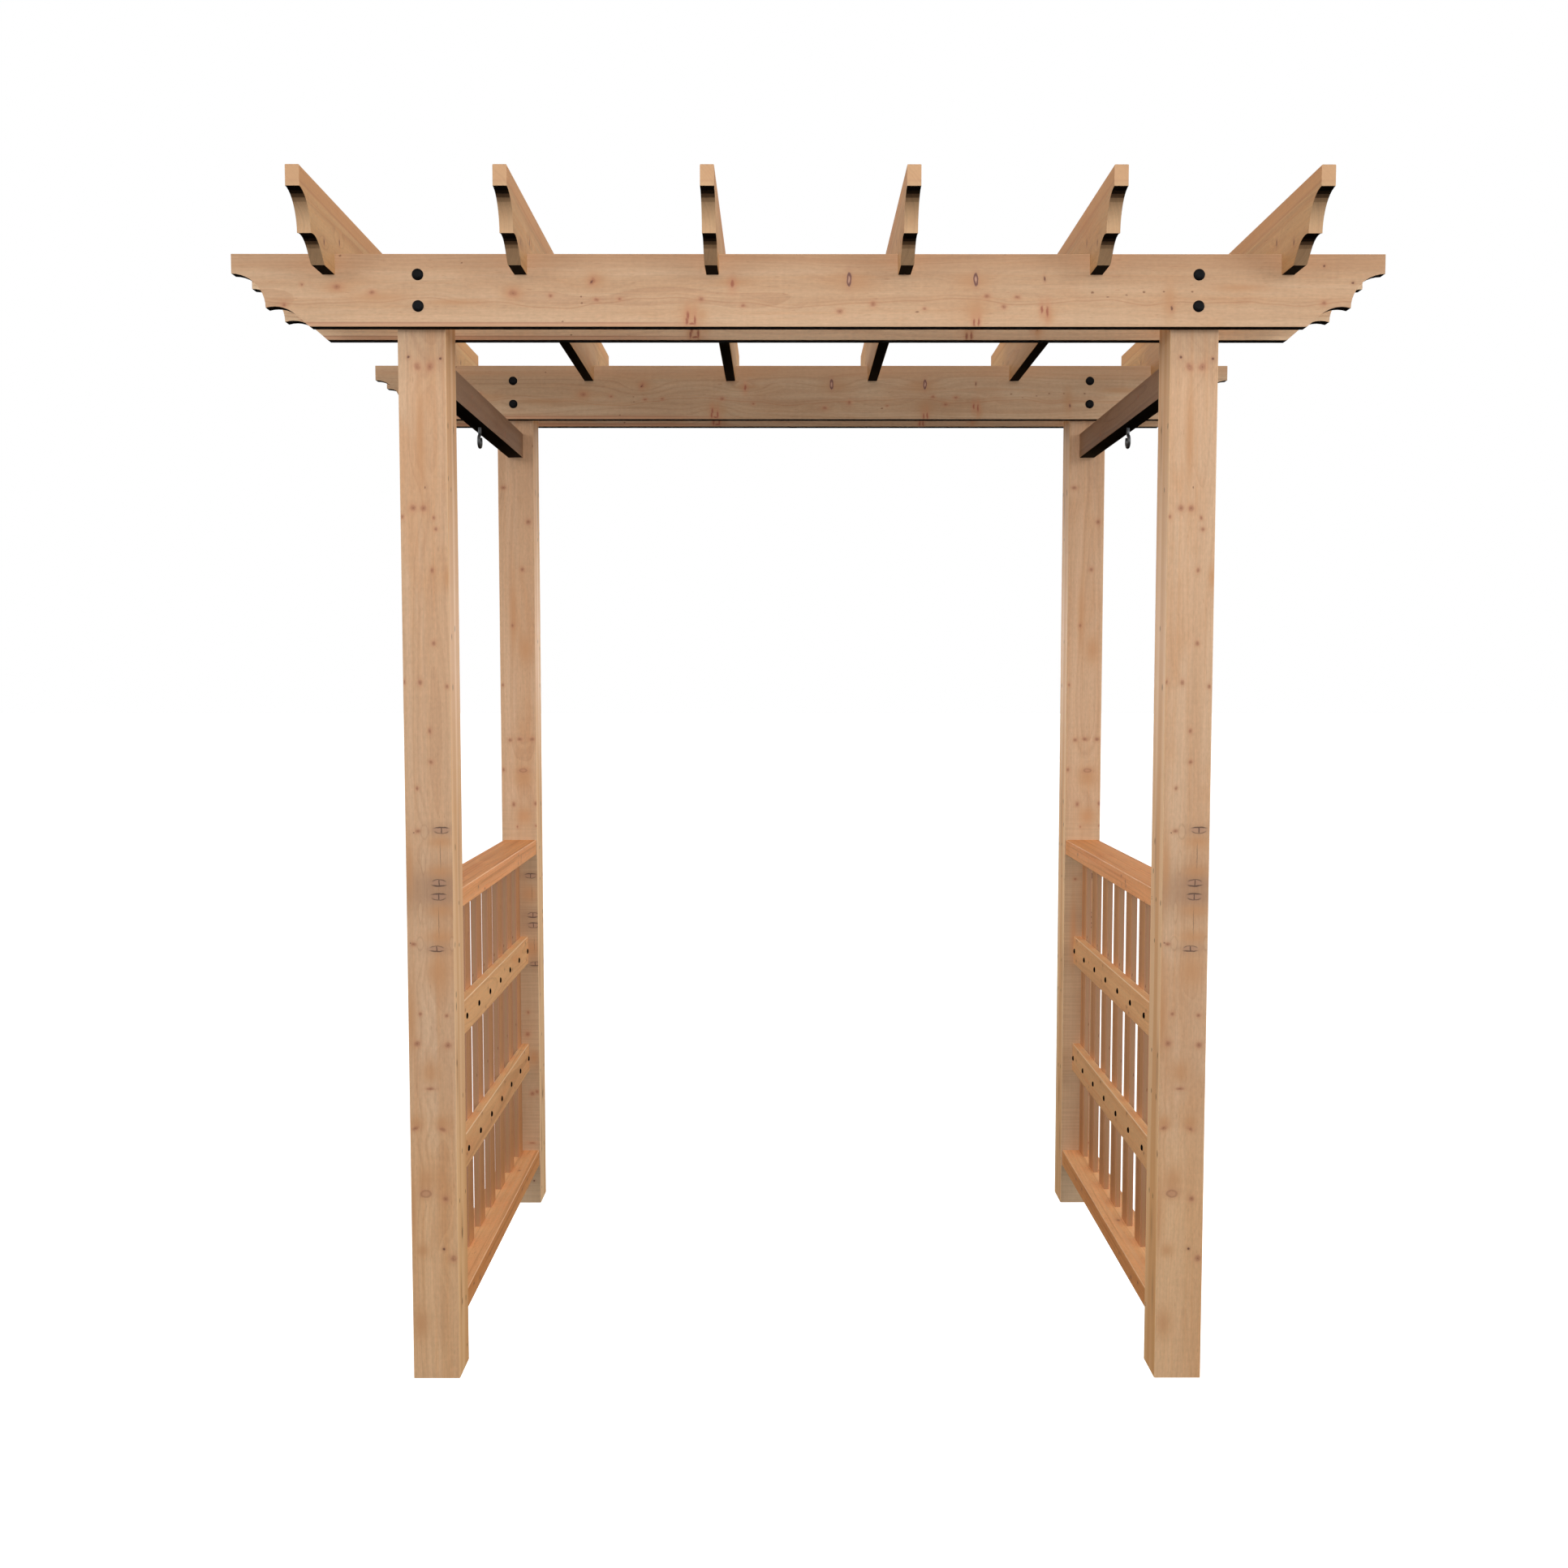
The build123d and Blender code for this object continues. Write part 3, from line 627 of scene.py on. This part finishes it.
def low_rail_tint(n, col, l, c, t, side):
    """The bottom rails have the paler face up."""
    b = n.noise(n.xyz(n.mul(l, 1.6), n.mul(c, 120.0), n.mul(t, 120.0)), 1.0, 1.0, 0.5)
    col = n.mix(n.mul(n.step(b, 0.52, 0.66), 0.42), col, lin(196, 122, 72))
    col = n.mix(n.mul(n.step(b, 0.46, 0.34), 0.30), col, lin(240, 180, 128))
    return n.mix(1.0, col, n.mix(side, (0.98, 1.11, 1.22, 1.0), (0.88, 0.84, 0.74, 1.0)), "MULTIPLY")


for i, e in enumerate(("front", "back")):
    for j, sd in enumerate(("left", "right")):
        nm = f"post_{e}_{sd}"
        lo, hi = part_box(nm)
        marks = post_marks(side_right if sd == "right" else side_left, e == "back")
        finish_with(nm, wood(nm, Z, X, Y, (lo + hi) / 2, POST, 3.0 + 11.0 * i + 5.0 * j,
                             pith=(0.012, -0.085), pitch=0.0065, faces=marks,
                             tint=back_post_tint if e == "back" else front_post_tint,
                             ringamt=0.16, blotch=0.5, stripe=0.30, fleck=0.30))
for i, nm in enumerate(("beam_front_outer", "beam_front_inner", "beam_back_inner", "beam_back_outer")):
    lo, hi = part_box(nm)
    finish_with(nm, wood(nm, X, Z, Y, (lo + hi) / 2, BEAMS[nm], 40.0 + 9.0 * i, pith=(-0.012, -0.075),
                         pitch=0.0055, faces={"wide": beam_marks}, tint=beam_tint, ringamt=0.22, wobble=3.6,
                         blotch=0.45, stripe=0.28, fleck=0.30))
for i in range(6):
    nm = f"rafter_{i + 1}"
    lo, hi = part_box(nm)
    ends = {"dark": [(-25.3, -646.8, 8.5, 4.2), (0.4, -547.7, 9, 4.6), (-25.3, 640, 8, 4), (0.4, 552, 8, 4)],
            "red": [(18, -180, 5, 6), (-12, 120, 5, 6), (26, 330, 4, 5), (-30, -300, 4, 6)],
            "warp": [(-25, -647, 14, 40), (0, -548, 16, 50), (-25, 640, 14, 40), (0, 552, 16, 50)]}
    finish_with(nm, wood(nm, Y, Z, X, (lo + hi) / 2, RAFT, 80.0 + 7.0 * i, pith=(-0.02, -0.07),
                         pitch=0.006, faces={"wide": ends}, tint=rafter_tint, ringamt=0.20,
                         blotch=0.6, stripe=0.34, end=lin(212, 176, 142)))
SLAT_PITCH, SLAT_FIRST = 0.1273, -0.4536  # spacing of the slats, middle of the front one
TOP_KNOTS = {
    "left": [(-0.6, -292.5, 4.5, 7), (-13.3, -223.3, 3, 6), (9.2, 201, 3, 6), (0, 240, 7, 4),
             (-9.5, 236, 5, 4), (-10, 199.7, 4, 4)],
    "right": [(-1, 308, 5, 6), (8.6, -184.3, 3, 7), (1, -224.4, 6, 5), (-8, -229.3, 5, 4),
              (-17, -401, 3, 3), (-18, -39, 3, 4), (-10, -188.5, 3, 4)]}
MID_KNOTS = {
    "left": [(11, -81, 5, 5), (-8, -49, 5, 6), (-6, 235, 5, 6), (-26, -109, 4, 5), (25, 425, 5, 6),
             (13.6, 127, 4, 5), (-20, 440, 4, 6), (14, -330, 5, 6)],
    "right": [(31, 425, 5, 7), (-22, 431, 6, 6), (26, 104, 5, 4), (-12, 119, 5, 5), (-18, -150, 5, 6),
              (-26, -173, 4, 5), (12, -330, 4, 5), (4, 270, 3, 4)]}
for j, sd in enumerate(("left", "right")):
    k = 130.0 + 17.0 * j
    sets = (
        (f"tie_beam_{sd}", TIE, Z, X, 0.0, None, {"wide": {"red": [(6, -180, 4, 6), (-12, 210, 5, 6)]}}),
        (f"top_rail_{sd}", RAIL, X, Z, 3.0, rail_tint,
         {"wide": {"red": [(14, -320, 4, 7)]},
          "side": {"red": TOP_KNOTS[sd]}}),
        (f"bottom_rail_{sd}", RAIL, X, Z, 6.0, low_rail_tint,
         {"wide": {"red": [(-10, -60, 5, 8), (18, 300, 4, 6)]},
          "side": {"dark": [(6, -392, 3, 5)], "red": [(-6, -330, 6, 8), (2, -215, 4, 6), (4, 280, 4, 7),
                                                      (4, 205, 5, 7)]}}),
        (f"mid_rail_upper_{sd}", MIDR, Z, X, 9.0, None,
         {"wide": {"red": MID_KNOTS[sd]}}),
        (f"mid_rail_lower_{sd}", MIDR, Z, X, 12.0, None,
         {"wide": {"red": [(30, 394, 5, 6), (3, 415, 4, 7), (26.5, 113.6, 4, 7), (30, -167, 5, 7),
                           (-14, -60, 4, 5), (-22, 250, 3, 4), (-8, -330, 4, 6)]}}),
    )
    for nm, pal, cc, tt, off, tint, marks in sets:
        lo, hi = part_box(nm)
        finish_with(nm, wood(nm, Y, cc, tt, (lo + hi) / 2, pal, k + off, faces=marks, tint=tint,
                             pith=(0.008, -0.06), pitch=0.005, ringamt=0.22, stripe=0.42,
                             arris={"tie": 0.22, "top": 0.40, "bot": 0.50, "mid": 0.95}[nm[:3]]))
    nm = f"slats_{sd}"
    lo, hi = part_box(nm)
    marks = {"wide": {"speck": [(10, 287, 1.8, 6), (10, 124, 1.4, 4), (9, 47, 1.8, 6), (10, -226, 1.6, 6),
                                (-12, -150, 1.4, 6), (-16, 200, 1.4, 5)],
                      "red": [(2, -290, 4, 8)]},
             "side": {"speck": [(3, -42, 1.2, 5), (-3, 180, 1.2, 5)]}}
    finish_with(nm, wood(nm, Z, Y, X, (lo + hi) / 2, SLAT, 200.0 + 31.0 * j, faces=marks,
                         cells=(Y, SLAT_PITCH, SLAT_FIRST - SLAT_PITCH / 2), tint=slat_tint,
                         pith=(0.0, -0.04), pitch=0.004, ringamt=0.20, stripe=0.45))


# ---------------------------------------------------------------- hardware
def metal(name, colour, rough, metallic, speck, spec=0.5):
    mat = bpy.data.materials.new(name)
    mat.use_nodes = True
    tree = mat.node_tree
    tree.nodes.clear()
    n = Net(tree)
    coord = n.new("ShaderNodeTexCoord").outputs["Object"]
    a = n.noise(coord, 700.0, 3.0, 0.6)
    b = n.noise(coord, 90.0, 2.0, 0.5)
    bsdf = n.new("ShaderNodeBsdfPrincipled")
    dark = tuple(v * 0.6 for v in colour[:3]) + (1.0,)
    n.put(bsdf.inputs["Base Color"], n.mix(n.step(b, 0.35, 0.7), colour, dark))
    n.put(bsdf.inputs["Roughness"], n.mad(n.sub(a, 0.5), speck, rough))
    bsdf.inputs["Metallic"].default_value = metallic
    bsdf.inputs["Specular IOR Level"].default_value = spec
    bm = n.new("ShaderNodeBump")
    bm.inputs["Strength"].default_value = 0.25
    bm.inputs["Distance"].default_value = 0.0003
    n.put(bm.inputs["Height"], a)
    n.put(bsdf.inputs["Normal"], bm.outputs[0])
    out = n.new("ShaderNodeOutputMaterial")
    n.put(out.inputs["Surface"], bsdf.outputs[0])
    return mat


BLACK = metal("bolt_black", lin(14, 16, 19), 0.62, 0.0, 0.25, 0.12)
SCREW = metal("screw_black", lin(4, 4, 5), 0.95, 0.0, 0.05, 0.0)
ZINC = metal("hook_zinc", lin(104, 106, 108), 0.48, 0.85, 0.3)
for e in ("front", "back"):
    for sd in ("left", "right"):
        finish_with(f"bolts_{e}_{sd}", BLACK)
for sd in ("left", "right"):
    finish_with(f"hook_{sd}", ZINC)

SEG = 36
PROFILE = [(6.3, -0.6), (6.3, 0.5), (6.0, 1.2), (5.3, 1.8), (4.2, 2.2), (3.0, 2.45)]


def screw_head(bm, centre, out):
    """A round screw head with a six-lobed drive recess, facing out along X."""
    rings = [[(r * math.cos(2 * math.pi * k / SEG), r * math.sin(2 * math.pi * k / SEG), h)
              for k in range(SEG)] for r, h in PROFILE]
    for h in (2.45, 1.0):
        rings.append([((1.85 + 0.3 * math.cos(12 * math.pi * k / SEG)) * math.cos(2 * math.pi * k / SEG),
                       (1.85 + 0.3 * math.cos(12 * math.pi * k / SEG)) * math.sin(2 * math.pi * k / SEG), h)
                      for k in range(SEG)])
    made = []
    for ring in rings:
        made.append([bm.verts.new((centre[0] + out * h / 1000, centre[1] + out * a / 1000, centre[2] + b / 1000))
                     for a, b, h in ring])
    for r0, r1 in zip(made, made[1:]):
        for k in range(SEG):
            bm.faces.new((r0[k], r0[(k + 1) % SEG], r1[(k + 1) % SEG], r1[k]))
    bm.faces.new(made[-1])
    bm.faces.new(tuple(reversed(made[0])))


for sd, sx in (("left", -1), ("right", 1)):
    for row in ("upper", "lower"):
        lo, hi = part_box(f"mid_rail_{row}_{sd}")
        face = hi.x if sx < 0 else lo.x
        bm = bmesh.new()
        for k in range(8):
            screw_head(bm, (face, -0.4426 + 0.1282 * k, (lo.z + hi.z) / 2 - 0.001), -sx)
        bmesh.ops.recalc_face_normals(bm, faces=bm.faces)
        me = bpy.data.meshes.new(f"screws_{row}_{sd}")
        bm.to_mesh(me)
        bm.free()
        for f in me.polygons:
            f.use_smooth = True
        o = bpy.data.objects.new(me.name, me)
        scene.collection.objects.link(o)
        me.set_sharp_from_angle(angle=math.radians(50))
        me.materials.append(SCREW)
        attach(o, "root")

# ------------------------------------------------------------ floor, light
floor_me = bpy.data.meshes.new("floor")
floor_me.from_pydata([(-60, -60, -0.0005), (60, -60, -0.0005), (60, 60, -0.0005), (-60, 60, -0.0005)], [], [(0, 1, 2, 3)])
floor = bpy.data.objects.new("floor", floor_me)
scene.collection.objects.link(floor)
fm = bpy.data.materials.new("floor_pale")
fm.use_nodes = True
fb = fm.node_tree.nodes["Principled BSDF"]
fb.inputs["Base Color"].default_value = (0.9, 0.9, 0.9, 1)
fb.inputs["Roughness"].default_value = 0.9
fb.inputs["Specular IOR Level"].default_value = 0.0
fb.inputs["Emission Color"].default_value = (1, 1, 1, 1)
fb.inputs["Emission Strength"].default_value = 0.85
floor_me.materials.append(fm)
floor.visible_diffuse = False
floor.visible_glossy = False

world = bpy.data.worlds.new("studio")
scene.world = world
world.use_nodes = True
wt = world.node_tree
wt.nodes.clear()
n = Net(wt)
gen = n.new("ShaderNodeTexCoord").outputs["Generated"]
sp = n.new("ShaderNodeSeparateXYZ")
n.put(sp.inputs[0], gen)
# dark below the horizon, bright and low at the sides and in front, weak behind; the four
# columns are the strengths in front, behind, left and right at a few heights
heights = (0.0, 0.25, 0.6, 0.95)
front = (1.017, 1.875, 0.0, 0.1)
behind = (0.5, 0.6, 0.3, 0.1)
left = (0.358, 2.177, 0.0, 0.1)
right = (0.786, 2.097, 0.244, 0.1)
TOP = 2.5
near_cols = n.ramp(sp.outputs[2], [(h, (a / TOP, b / TOP, c / TOP, 1)) for h, a, b, c in zip(heights, front, behind, left)])
right_col = n.ramp(sp.outputs[2], [(h, (d / TOP, d / TOP, d / TOP, 1)) for h, d in zip(heights, right)])
cols = n.new("ShaderNodeSeparateColor")
n.put(cols.inputs[0], near_cols)
rcol = n.new("ShaderNodeSeparateColor")
n.put(rcol.inputs[0], right_col)
sky = None
for axis, sign, value in ((1, -1, cols.outputs[0]), (1, 1, cols.outputs[1]), (0, -1, cols.outputs[2]), (0, 1, rcol.outputs[0])):
    part = n.m("MAXIMUM", n.mul(sp.outputs[axis], sign), 0.0)
    part = n.mul(n.mul(part, part), value)
    sky = part if sky is None else n.add(sky, part)
flat2 = n.mad(sp.outputs[0], sp.outputs[0], n.mul(sp.outputs[1], sp.outputs[1]))
sky = n.m("DIVIDE", sky, n.m("MAXIMUM", flat2, 1e-5))
sky = n.mul(n.mul(sky, TOP), n.m("GREATER_THAN", sp.outputs[2], 0.0))
sky = n.xyz(sky, sky, sky)
bg = n.new("ShaderNodeBackground")
n.put(bg.inputs["Color"], sky)
bgc = n.new("ShaderNodeBackground")
bgc.inputs["Color"].default_value = (1, 1, 1, 1)
ms = n.new("ShaderNodeMixShader")
n.put(ms.inputs[0], n.new("ShaderNodeLightPath").outputs["Is Camera Ray"])
n.put(ms.inputs[1], bg.outputs[0])
n.put(ms.inputs[2], bgc.outputs[0])
wout = n.new("ShaderNodeOutputWorld")
n.put(wout.inputs[0], ms.outputs[0])


def area(name, loc, energy, shadow, target=(0.0, -0.3, 1.4), size=(1.2, 0.8)):
    d = bpy.data.lights.new(name, "AREA")
    d.shape = "RECTANGLE"
    d.size, d.size_y = size
    d.energy = energy
    d.use_shadow = shadow
    o = bpy.data.objects.new(name, d)
    o.location = loc
    o.rotation_euler = (Vector(target) - Vector(loc)).to_track_quat("-Z", "Y").to_euler()
    o.visible_camera = False
    scene.collection.objects.link(o)


area("front_above", (0.0, -3.5, 3.4), 42.0, False)
area("front_left", (-2.6, -3.6, 2.5), 18.1, True)
area("front_right", (2.6, -3.6, 2.5), 21.5, True)
area("left", (-4.5, -1.0, 2.6), 22.4, False)
area("right", (4.5, -1.0, 2.6), 40.8, False)

# level light from behind, for the backs of the boards only
back = bpy.data.lights.new("behind", "SUN")
back.energy = 1.6
back.angle = math.radians(10)
back_o = bpy.data.objects.new("behind", back)
back_o.location = (0.0, 4.5, 1.4)
back_o.rotation_euler = (-math.pi / 2, 0.0, 0.0)
scene.collection.objects.link(back_o)
